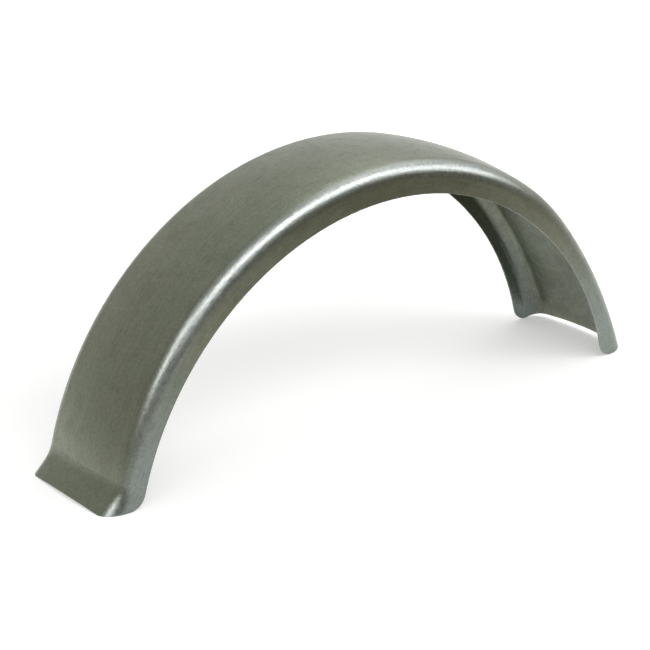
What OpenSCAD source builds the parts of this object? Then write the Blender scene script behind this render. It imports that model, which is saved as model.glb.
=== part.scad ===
// Rear fender of a motorcycle: one pressed sheet of steel that arches over the tyre.
// The frame has +X towards the front of the motorcycle, Y along the wheel's axle and +Z up.
// The fender stands on its two ends, with the origin on the floor below the middle of its length.

/* [Sheet] */
// Thickness of the steel sheet
sheet_t = 1.5; // [1:0.1:2.5]
// Width over the two side skirts
width = 144; // [120:1:170]

/* [Crown] */
// Radius of the arch, at the outside of the crown on its centre line
arch_r = 350; // [320:1:380]
// Radius of the slight curve across the crown
camber_r = 350; // [300:5:600]
// Outside radius of the bend from the crown to a skirt
shoulder_r = 18; // [12:0.5:24]

/* [Skirts] */
// Depth of the skirts at the top of the arch, from the crown down to the free edge
skirt_depth = 40; // [34:0.5:48]
// How far the centre of the free edge's circle lies below the centre of the arch
edge_drop = 11; // [6:0.5:16]

/* [Stance] */
// Height of the floor above the centre of the arch
floor_height = 57.5; // [50:0.5:64]

/* [Front end] */
// Angle from the top of the arch to where its curve tightens
bend_from = 35.5; // [30:0.5:40]
// Angle to which the tighter curve goes on
bend_to = 50.5; // [44:0.5:56]
// Radius of the tighter curve
bend_r = 290; // [250:5:340]
// Radius of the nearly straight run from there down to the front end
front_r = 550; // [450:10:700]
// Angle at which the front end's edge rises from the floor
front_slope = 12; // [8:0.5:18]
// Radius of the lower corner of each skirt at the front end
front_corner_r = 18; // [10:0.5:20]

/* [Rear end] */
// Radius of the outward turn, at the outside of the crown
flip_r = 31; // [24:1:40]
// Angle from the vertical at which the outward turn ends
flip_to = 44.5; // [36:0.5:50]
// Length of the nearly straight lip beyond the turn
lip = 18; // [12:0.5:22]
// Radius of that lip
lip_r = 400; // [200:10:800]
// Height of the middle of the lip's edge above the floor
tip_lift = 2.3; // [1:0.1:4]
// Radius of the lower corner of each skirt at the rear end
rear_corner_r = 19; // [12:0.5:24]

/* [Hidden] */
$fn = 180;

// How far each rounding reaches past the faces that it joins, so that they cross cleanly
lap = 0.01;
corner_lap = 0.05;
// How far the floor cuts into the round corners at the front, which gives them small flat feet
foot_bite = 0.1;
// Room by which a cutting shape runs past the sheet, and the angle by which the sheet does so
past = 30;
past_angle = 4;
// Depth of the swept section, before the free edge is cut
section_depth = skirt_depth + 8;

// Shoulder bend: centre across the width, and centre below the top of the crown
shoulder_y = width / 2 - shoulder_r;
shoulder_x = sqrt(pow(camber_r - shoulder_r, 2) - pow(shoulder_y, 2)) - camber_r;
// Where the crown's curve passes into the shoulder bend
crown_edge_y = shoulder_y * camber_r / (camber_r - shoulder_r);

// Side view, with x to the front and y up from the centre of the arch.
// Angles at the front count from the top, those of the rear turn from the vertical.
function dot(a, b) = a[0] * b[0] + a[1] * b[1];
function from_top(angle) = [sin(angle), cos(angle)];
function from_vertical(angle) = [cos(angle), -sin(angle)];

// Free edge of the skirts
edge_r = arch_r - skirt_depth + edge_drop;
edge_centre = [0, -edge_drop];
// Centre of a skirt corner of radius r that touches the free edge and has its lowest point at height h
function corner_centre(r, h) =
    [sqrt(pow(edge_r + r, 2) - pow(h + r + edge_drop, 2)), h + r];

// Front end: centres of its two curves, and the straight cut from the corner up to the crown
bend_centre = (arch_r - bend_r) * from_top(bend_from);
front_centre = bend_centre + (bend_r - front_r) * from_top(bend_to);
front_corner = corner_centre(front_corner_r, floor_height - foot_bite);
cut_start = front_corner + front_corner_r * from_vertical(90 - front_slope);
cut_dir = [cos(front_slope), sin(front_slope)];
from_centre = cut_start - front_centre;
along = dot(from_centre, cut_dir);
cut_length = sqrt(pow(front_r, 2) - dot(from_centre, from_centre) + pow(along, 2)) - along;
front_end = cut_start + cut_length * cut_dir;
front_to = ceil(past_angle + atan2(front_end[0] - front_centre[0], front_end[1] - front_centre[1]));

// Rear end: the outward turn has its centre outside the arch, and so has the lip.
// The arch passes into the turn where this puts the lip's edge at its height above the floor,
// to a hundredth of a degree.
lip_angle = round(100 * lip / lip_r * 180 / PI) / 100;
lip_to = flip_to + lip_angle;
flip_height = floor_height + tip_lift + (flip_r - lip_r) * sin(flip_to) + (lip_r + sheet_t) * sin(lip_to);
rear_angle = round(100 * acos(flip_height / (arch_r + flip_r))) / 100;
flip_centre = (arch_r + flip_r) * from_top(-rear_angle);
lip_centre = flip_centre + (flip_r - lip_r) * from_vertical(flip_to);
rear_end = lip_centre + lip_r * from_vertical(lip_to);
rear_corner = let (c = corner_centre(rear_corner_r, floor_height)) [-c[0], c[1]];

// The origin is below the middle of the fender's length
middle_x = (front_end[0] + rear_end[0]) / 2;

// A translation given in three steps, from whole millimetres to the smallest remainder,
// so that a swept piece meets its neighbour exactly
module place(v) {
    whole = [for (c = v) round(c)];
    small = [for (c = v - whole) round(c * 1000) / 1000];
    translate(whole) translate(small) translate(v - whole - small) children();
}

// Filled outline of the section, with the top of the crown at x = 0 and the width along y.
// It is moved in from the outer surface by inset, and reaches down to depth.
module section_outline(inset, depth) {
    round_r = shoulder_r - inset + lap;
    intersection() {
        translate([-camber_r, 0]) circle(r = camber_r - inset, $fn = 720);
        translate([-depth, -crown_edge_y]) square([depth + past, 2 * crown_edge_y]);
    }
    translate([-depth, inset - width / 2]) square([depth + shoulder_x, width - 2 * inset]);
    for (side = [-1, 1])
        translate([shoulder_x, side * shoulder_y]) circle(r = round_r, $fn = 96);
}

// The bent sheet in section: crown, two shoulders and two skirts
module section() {
    difference() {
        section_outline(0, section_depth);
        section_outline(sheet_t, section_depth + past);
    }
}

// The section carried round the centre c, from one angle to another, counted from the front.
// The crown is r away from c.
module curve(c, r, from, to) {
    place(c) rotate_extrude(angle = to - from, start = from) translate([r, 0]) section();
}

// The same round a centre outside the arch, clockwise between two angles from the vertical
module outward_curve(c, r, from, to) {
    place(c) mirror([0, 1, 0])
        rotate_extrude(angle = to - from, start = from) translate([r, 0]) mirror([1, 0]) section();
}

// The whole bent sheet, with x to the front, y up and the width along z
module swept_sheet() {
    curve(front_centre, front_r, 90 - front_to, 90 - bend_to);
    curve(bend_centre, bend_r, 90 - bend_to, 90 - bend_from);
    curve([0, 0], arch_r, 90 - bend_from, 90 + rear_angle);
    outward_curve(flip_centre, flip_r, 90 - rear_angle, flip_to);
    outward_curve(lip_centre, lip_r, flip_to, lip_to);
}

// What is cut away at a skirt corner: all that lies outside its round, between two directions
module corner_cut(centre, r, from, to) {
    reach = r + past;
    translate(centre) difference() {
        polygon([[0, 0], for (a = [from, (from + to) / 2, to]) reach * [cos(a), sin(a)]]);
        circle(r = r + corner_lap);
    }
}

// Direction from a point of the side view to the centre of the free edge
function to_edge_centre(p) = atan2(edge_centre[1] - p[1], edge_centre[0] - p[0]);

// Everything that is cut off the swept sheet, in side view
module side_cuts() {
    translate(edge_centre) circle(r = edge_r, $fn = 360);
    translate([-2 * arch_r, floor_height - arch_r]) square([4 * arch_r, arch_r]);
    translate(cut_start) rotate(front_slope) translate([0, -2 * past]) square([cut_length + past, 2 * past]);
    corner_cut(front_corner, front_corner_r, to_edge_centre(front_corner), front_slope - 90);
    corner_cut(rear_corner, rear_corner_r, -90, to_edge_centre(rear_corner));
}

module fender() {
    color([0.45, 0.47, 0.42])
        translate([-middle_x, 0, -floor_height]) rotate([90, 0, 0]) difference() {
            swept_sheet();
            linear_extrude(height = 2 * width, center = true) side_cuts();
        }
}

fender();
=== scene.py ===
"""A bare steel rear fender of a motorcycle, standing on its two ends in a plain white studio."""
import math

import bpy
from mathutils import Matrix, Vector

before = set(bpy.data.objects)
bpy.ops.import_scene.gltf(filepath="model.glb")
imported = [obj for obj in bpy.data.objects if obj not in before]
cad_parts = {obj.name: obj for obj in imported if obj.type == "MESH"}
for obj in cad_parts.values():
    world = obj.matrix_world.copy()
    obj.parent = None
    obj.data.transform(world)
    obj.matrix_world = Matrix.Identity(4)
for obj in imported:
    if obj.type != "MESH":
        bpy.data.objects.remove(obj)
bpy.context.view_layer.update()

# Camera: where it looks, in metres, from which side, in degrees, and how far it is from there
CAMERA_TARGET = Vector((-0.0236, 0.0047, 0.0984))
CAMERA_AZIMUTH = -38.36
CAMERA_ELEVATION = 21.65
CAMERA_DISTANCE = 2.415
CAMERA_LENS = 126.5
SENSOR_WIDTH = 36.0

# Arch of the fender in side view: centre and radius, in metres
ARCH_X, ARCH_Z, ARCH_RADIUS = 0.0027, -0.0575, 0.35

# Steel: linear colours
STEEL = (0.200, 0.224, 0.158)
STEEL_BROWN = (0.202, 0.202, 0.138)
STEEL_GREY = (0.290, 0.320, 0.270)
STEEL_DARK = (0.100, 0.108, 0.078)
STEEL_FLOOR_REFLECTION = (0.205, 0.238, 0.242)
SKIRT_PAINTED_SHADE = (0.36, 0.335, 0.27)
SHOULDER_PAINTED_HIGHLIGHT = (0.48, 0.51, 0.50)
BARE_EDGE = (0.55, 0.58, 0.56)

# Patterns in the steel: scale, detail, roughness and distortion of the noise, then the range of
# its values that is stretched to 0 and 1
CLOUDS = (11.0, 4.0, 0.55, 0.6), (0.36, 0.64)
INNER_STAINS = (22.0, 6.0, 0.66, 1.5), (0.45, 0.56)
STAINS = (38.0, 5.0, 0.62, 1.2), (0.50, 0.66)
BLOTCHES = (60.0, 4.0, 0.65, 0.4), (0.38, 0.66)
MOTTLE = (300.0, 3.0, 0.6, 0.0), (0.36, 0.66)
GRAIN = (750.0, 2.0, 0.6, 0.0), (0.34, 0.68)
DRAWN_MARKS = (420.0, 3.0, 0.6, 0.0), (0.40, 0.62)
DRAWN_STRETCH = (0.05, 1.0, 1.0)

# How strongly the patterns show in the colour
INNER_STAINS_SHOW = 0.75
STAINS_SHOW = 0.35
BLOTCHES_SHOW = 0.22
MOTTLE_SHOWS = 0.42
DRAWN_MARKS_SHOW = 0.20
GRAIN_SHOWS = 0.32

# A mask goes from 0 to 1 over a range, which may run downwards. Turn is 0 on the crown and 1 on
# a skirt, and x and height are in metres.
# Where a highlight is painted on the shoulder as a lighter colour: on the bend, and on the rear
# lip's corner too. It is weaker near the floor, on the inner face and in the mottle's dark spots,
# and the front end has none.
HIGHLIGHT_BEGINS_TURN = (0.32, 0.60)
HIGHLIGHT_ENDS_TURN = (1.0, 0.86)
HIGHLIGHT_HEIGHT = (0.06, 0.17)
HIGHLIGHT_LOW = 0.05
HIGHLIGHT_LIP_X = (-0.332, -0.342)
HIGHLIGHT_LIP = 0.9
HIGHLIGHT_FRONT_X = (0.22, 0.13)
HIGHLIGHT_INSIDE = 0.20
HIGHLIGHT_IN_SPOTS = 0.65
# Where the skirts get painted shade, browner and darker high up, and a painted reflection of the
# pale floor, cooler low down
SKIRT_SHADE_TURN = (0.80, 1.0)
SKIRT_SHADE_HEIGHT = (0.04, 0.26)
SKIRT_REFLECTION_TURN = (0.45, 1.0)
SKIRT_REFLECTION_HEIGHT = (0.17, 0.05)
SKIRT_REFLECTION_MOST = 0.9
# The outer face of the sheet: where the normal points away from the arch's centre. The distance
# from there is measured along the normal, with its part across the sheet made stronger.
OUTER_FACE = (-0.08, 0.08)
SIDE_WEIGHT = 5.0

# Wear along the cut edges: its radius in metres, the samples that find it, the cosine between the
# rounded and the true normal, and how strong it is between the blotches and on them
EDGE_RADIUS = 0.0008
EDGE_SAMPLES = 6
EDGE_FACING = (0.995, 0.88)
EDGE_WEAR = (0.35, 0.9)

# Finish of the steel. A pair of values goes with a pattern's 0 and 1.
ROUGHNESS_BY_BLOTCHES = (0.35, 0.28)
ROUGHNESS_BY_GRAIN = (0.03, -0.03)
ROUGHNESS_OF_STAINS = 0.05
OIL_WEIGHT = 0.25
OIL_ROUGHNESS = 0.22
RELIEF_OF_MOTTLE = 0.55
RELIEF_OF_GRAIN = 0.25
RELIEF_OF_DRAWN_MARKS = 0.30
RELIEF_STRENGTH = 0.45
RELIEF_DEPTH = 0.0003

# Floor: its colour near the fender, a darker colour painted farther out as painted shade where the
# lamps' light falls off, and the light added to it where it is seen or reflected. Behind the
# fender, as the camera sees it, the near colour goes on and more light is added.
FLOOR_SIZE = 30.0
FLOOR_Z = -0.0002
FLOOR_COLOUR = (0.80, 0.80, 0.80)
FLOOR_FALLOFF_SHADE = (0.52, 0.52, 0.52)
FLOOR_FALLOFF_REACH = (0.6, 1.3)
FLOOR_BEHIND_REACH = (0.3, 1.0)
FLOOR_LIFT_NEAR = 0.46
FLOOR_LIFT_BEHIND = 0.72

# Surroundings: their colours, and the ranges of a direction's X and Y over which they mix
BACK_LEFT = (0.52, 0.52, 0.49)
BACK_RIGHT = (0.82, 0.83, 0.81)
FRONT_SIDE = (0.22, 0.22, 0.21)
LEFT_TO_RIGHT = (-0.8, 0.6)
FRONT_TO_BACK = (-0.6, 0.4)

# Lamps: direction from the fender, width and height in metres, and radiance
LAMPS = {
    "front": ((0.08, -0.62, 0.78), (3.0, 0.75), 3.3),
    "front_right": ((0.79, -0.44, 0.42), (1.0, 0.6), 2.8),
    "left": ((-0.76, -0.38, 0.52), (0.6, 0.9), 2.7),
    "overhead_right": ((0.45, 0.15, 0.88), (1.6, 1.6), 0.7),
}
LAMP_DISTANCE = 2.0
LAMP_TARGET = Vector((0, 0, 0.1))


def add_camera():
    azimuth = math.radians(CAMERA_AZIMUTH)
    elevation = math.radians(CAMERA_ELEVATION)
    back = Vector((math.sin(azimuth) * math.cos(elevation),
                   -math.cos(azimuth) * math.cos(elevation),
                   math.sin(elevation)))
    data = bpy.data.cameras.new("camera")
    data.lens = CAMERA_LENS
    data.sensor_width = SENSOR_WIDTH
    camera = bpy.data.objects.new("camera", data)
    camera.location = CAMERA_TARGET + back * CAMERA_DISTANCE
    camera.rotation_euler = back.to_track_quat("Z", "Y").to_euler()
    bpy.context.scene.collection.objects.link(camera)
    bpy.context.scene.camera = camera


class Nodes:
    """Short calls for building a node tree."""

    def __init__(self, tree):
        self.tree = tree

    def add(self, kind, inputs=None, **settings):
        node = self.tree.nodes.new(kind)
        for key, value in settings.items():
            setattr(node, key, value)
        for key, value in (inputs or {}).items():
            self.put(node.inputs[key], value)
        return node

    def put(self, socket, value):
        if isinstance(value, bpy.types.NodeSocket):
            self.tree.links.new(value, socket)
        elif isinstance(value, tuple) and socket.type == "RGBA":
            socket.default_value = (*value, 1.0)
        else:
            socket.default_value = value

    def split(self, vector):
        return self.add("ShaderNodeSeparateXYZ", {"Vector": vector}).outputs

    def object_point(self):
        return self.add("ShaderNodeTexCoord").outputs["Object"]

    def pattern(self, point, settings):
        (scale, detail, roughness, distortion), stretch = settings
        inputs = {"Vector": point, "Scale": scale, "Detail": detail, "Roughness": roughness,
                  "Distortion": distortion}
        return self.mask(self.add("ShaderNodeTexNoise", inputs).outputs["Fac"], stretch)

    def mask(self, value, span, result=(0.0, 1.0)):
        """The value's place in the span, from the first result to the second one."""
        inputs = {"Value": value, "From Min": span[0], "From Max": span[1],
                  "To Min": result[0], "To Max": result[1]}
        return self.add("ShaderNodeMapRange", inputs).outputs["Result"]

    def maths(self, operation, *values):
        inputs = dict(enumerate(values))
        return self.add("ShaderNodeMath", inputs, operation=operation).outputs["Value"]

    def chain(self, operation, first, *others):
        for other in others:
            first = self.maths(operation, first, other)
        return first

    def times(self, *values):
        return self.chain("MULTIPLY", *values)

    def plus(self, *values):
        return self.chain("ADD", *values)

    def largest(self, *values):
        return self.chain("MAXIMUM", *values)

    def mix(self, factor, first, second, blend="MIX"):
        inputs = {0: factor, 6: first, 7: second}
        return self.add("ShaderNodeMix", inputs, data_type="RGBA", blend_type=blend).outputs[2]


def new_material(name):
    material = bpy.data.materials.new(name)
    material.use_nodes = True
    return material, Nodes(material.node_tree), material.node_tree.nodes["Principled BSDF"]


# Painted highlight: a lighter colour on the shoulder's bend and on the rear lip's corner
def painted_shoulder_highlight(n, turn, place, outside, mottle):
    on_bend = n.times(n.mask(turn, HIGHLIGHT_BEGINS_TURN), n.mask(turn, HIGHLIGHT_ENDS_TURN))
    along_arch = n.largest(n.mask(place["Z"], HIGHLIGHT_HEIGHT, (HIGHLIGHT_LOW, 1.0)),
                           n.mask(place["X"], HIGHLIGHT_LIP_X, (0.0, HIGHLIGHT_LIP)))
    return n.times(on_bend, along_arch, n.mask(place["X"], HIGHLIGHT_FRONT_X),
                   n.mask(outside, (0.0, 1.0), (HIGHLIGHT_INSIDE, 1.0)),
                   n.mask(mottle, (0.0, 1.0), (HIGHLIGHT_IN_SPOTS, 1.0)))


def edge_wear(n, edge_normal, normal, blotches):
    facing = n.add("ShaderNodeVectorMath", {0: edge_normal, 1: normal}, operation="DOT_PRODUCT")
    edge = n.mask(facing.outputs["Value"], EDGE_FACING)
    return n.times(edge, n.mask(blotches, (0.0, 1.0), EDGE_WEAR))


def steel_material():
    material, n, shader = new_material("oiled_steel")
    point = n.object_point()
    place = n.split(point)

    # The sheet laid flat: position along the arch, across it and away from its centre
    side_x = n.maths("SUBTRACT", place["X"], ARCH_X)
    side_z = n.maths("SUBTRACT", place["Z"], ARCH_Z)
    along = n.times(n.maths("ARCTAN2", side_x, side_z), ARCH_RADIUS)
    outward = n.maths("SQRT", n.plus(n.times(side_x, side_x), n.times(side_z, side_z)))
    laid_flat = {"X": along, "Y": place["Y"], "Z": outward}
    flat_point = n.add("ShaderNodeCombineXYZ", laid_flat).outputs["Vector"]
    stretched = n.add("ShaderNodeMapping", {"Vector": flat_point, "Scale": DRAWN_STRETCH})
    drawn_point = stretched.outputs["Vector"]

    clouds = n.pattern(point, CLOUDS)
    stains = n.pattern(flat_point, STAINS)
    blotches = n.pattern(point, BLOTCHES)
    mottle = n.pattern(point, MOTTLE)
    grain = n.pattern(point, GRAIN)
    drawn_marks = n.pattern(drawn_point, DRAWN_MARKS)

    # Which face of the sheet it is, and how far it has turned from the crown to a skirt
    normal = n.add("ShaderNodeNewGeometry").outputs["Normal"]
    facing = n.split(normal)
    faces_out = n.plus(n.times(facing["X"], side_x), n.times(facing["Z"], side_z),
                       n.times(facing["Y"], place["Y"], SIDE_WEIGHT))
    outside = n.mask(faces_out, OUTER_FACE)
    turn = n.maths("ABSOLUTE", facing["Y"])

    inner_stains = n.times(n.mask(outside, (1.0, 0.0), (0.0, INNER_STAINS_SHOW)),
                           n.pattern(flat_point, INNER_STAINS))
    # Painted shade: the skirts are made browner and darker high up
    painted_skirt_shade = n.times(n.mask(turn, SKIRT_SHADE_TURN), n.mask(place["Z"], SKIRT_SHADE_HEIGHT))
    # Painted reflection of the pale floor: the skirts are made cooler low down
    painted_floor_reflection = n.times(n.mask(turn, SKIRT_REFLECTION_TURN), n.mask(place["Z"], SKIRT_REFLECTION_HEIGHT, (0.0, SKIRT_REFLECTION_MOST)))
    painted_highlight = painted_shoulder_highlight(n, turn, place, outside, mottle)
    bevel = n.add("ShaderNodeBevel", {"Radius": EDGE_RADIUS}, samples=EDGE_SAMPLES)
    edge_normal = bevel.outputs["Normal"]

    colour = n.mix(clouds, STEEL_BROWN, STEEL)
    colour = n.mix(n.times(stains, STAINS_SHOW), colour, STEEL_DARK)
    colour = n.mix(inner_stains, colour, STEEL_DARK)
    colour = n.mix(n.times(blotches, BLOTCHES_SHOW), colour, STEEL_GREY)
    # Painted reflection of the pale floor on the lower skirts
    colour = n.mix(painted_floor_reflection, colour, STEEL_FLOOR_REFLECTION)
    colour = n.mix(n.mask(mottle, (1.0, 0.0), (0.0, MOTTLE_SHOWS)), colour, STEEL_DARK)
    colour = n.mix(n.times(drawn_marks, DRAWN_MARKS_SHOW), colour, STEEL_GREY)
    colour = n.mix(n.times(grain, GRAIN_SHOWS), colour, STEEL_GREY)
    # Painted shade on the upper skirts
    colour = n.mix(painted_skirt_shade, colour, SKIRT_PAINTED_SHADE, blend="MULTIPLY")
    # Painted highlight on the shoulder and the lip's corner
    colour = n.mix(painted_highlight, colour, SHOULDER_PAINTED_HIGHLIGHT)
    colour = n.mix(edge_wear(n, edge_normal, normal, blotches), colour, BARE_EDGE)
    n.put(shader.inputs["Base Color"], colour)
    shader.inputs["Metallic"].default_value = 1.0

    roughness = n.plus(n.mask(blotches, (0.0, 1.0), ROUGHNESS_BY_BLOTCHES),
                       n.mask(grain, (0.0, 1.0), ROUGHNESS_BY_GRAIN),
                       n.times(stains, ROUGHNESS_OF_STAINS))
    n.put(shader.inputs["Roughness"], roughness)
    shader.inputs["Coat Weight"].default_value = OIL_WEIGHT
    shader.inputs["Coat Roughness"].default_value = OIL_ROUGHNESS

    relief = n.plus(n.times(mottle, RELIEF_OF_MOTTLE), n.times(grain, RELIEF_OF_GRAIN),
                    n.times(drawn_marks, RELIEF_OF_DRAWN_MARKS))
    bump = n.add("ShaderNodeBump", {"Strength": RELIEF_STRENGTH, "Distance": RELIEF_DEPTH,
                                    "Height": relief, "Normal": edge_normal})
    n.put(shader.inputs["Normal"], bump.outputs["Normal"])
    return material


def floor_material():
    material, n, shader = new_material("floor")
    point = n.object_point()
    place = n.split(point)
    azimuth = math.radians(CAMERA_AZIMUTH)
    depth = n.plus(n.times(place["X"], -math.sin(azimuth)), n.times(place["Y"], math.cos(azimuth)))
    behind = n.mask(depth, FLOOR_BEHIND_REACH)
    reach = n.add("ShaderNodeVectorMath", {0: point}, operation="LENGTH").outputs["Value"]
    # Painted shade: the floor is made darker farther out, where the lamps' light would fall off,
    # but not behind the fender
    painted_falloff = n.times(n.mask(reach, FLOOR_FALLOFF_REACH), n.maths("SUBTRACT", 1.0, behind))
    colour = n.mix(painted_falloff, FLOOR_COLOUR, FLOOR_FALLOFF_SHADE)
    n.put(shader.inputs["Base Color"], colour)
    shader.inputs["Roughness"].default_value = 1.0
    shader.inputs["Specular IOR Level"].default_value = 0.0

    path = n.add("ShaderNodeLightPath").outputs
    seen = n.largest(path["Is Camera Ray"], path["Is Glossy Ray"], path["Is Transmission Ray"])
    lift = n.mask(behind, (0.0, 1.0), (FLOOR_LIFT_NEAR, FLOOR_LIFT_BEHIND))
    n.put(shader.inputs["Emission Color"], colour)
    n.put(shader.inputs["Emission Strength"], n.times(seen, lift))
    return material


def add_floor():
    bpy.ops.mesh.primitive_plane_add(size=FLOOR_SIZE, location=(0, 0, FLOOR_Z))
    floor = bpy.context.object
    floor.name = "floor"
    floor.data.materials.append(floor_material())


def add_lamp(name, direction, size, radiance):
    """An evenly bright panel. Its width runs across the direction, its height upwards."""
    data = bpy.data.lights.new(name, "AREA")
    data.shape = "RECTANGLE"
    data.size, data.size_y = size
    data.energy = radiance * math.pi * size[0] * size[1]
    lamp = bpy.data.objects.new(name, data)
    away = Vector(direction).normalized()
    lamp.location = LAMP_TARGET + away * LAMP_DISTANCE
    lamp.rotation_euler = away.to_track_quat("Z", "Y").to_euler()
    lamp.visible_camera = False
    bpy.context.scene.collection.objects.link(lamp)


def add_world():
    world = bpy.data.worlds.new("studio")
    world.use_nodes = True
    n = Nodes(world.node_tree)
    direction = n.split(n.add("ShaderNodeTexCoord").outputs["Generated"])
    back = n.mix(n.mask(direction["X"], LEFT_TO_RIGHT), BACK_LEFT, BACK_RIGHT)
    colour = n.mix(n.mask(direction["Y"], FRONT_TO_BACK), FRONT_SIDE, back)
    background = world.node_tree.nodes["Background"]
    n.put(background.inputs["Color"], colour)
    background.inputs["Strength"].default_value = 1.0
    bpy.context.scene.world = world


def dress_fender():
    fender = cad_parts["fender"]
    fender.data.materials.clear()
    fender.data.materials.append(steel_material())


add_camera()
add_world()
for lamp_name, lamp in LAMPS.items():
    add_lamp(lamp_name, *lamp)
add_floor()
dress_fender()

bpy.context.scene.view_settings.view_transform = "Standard"
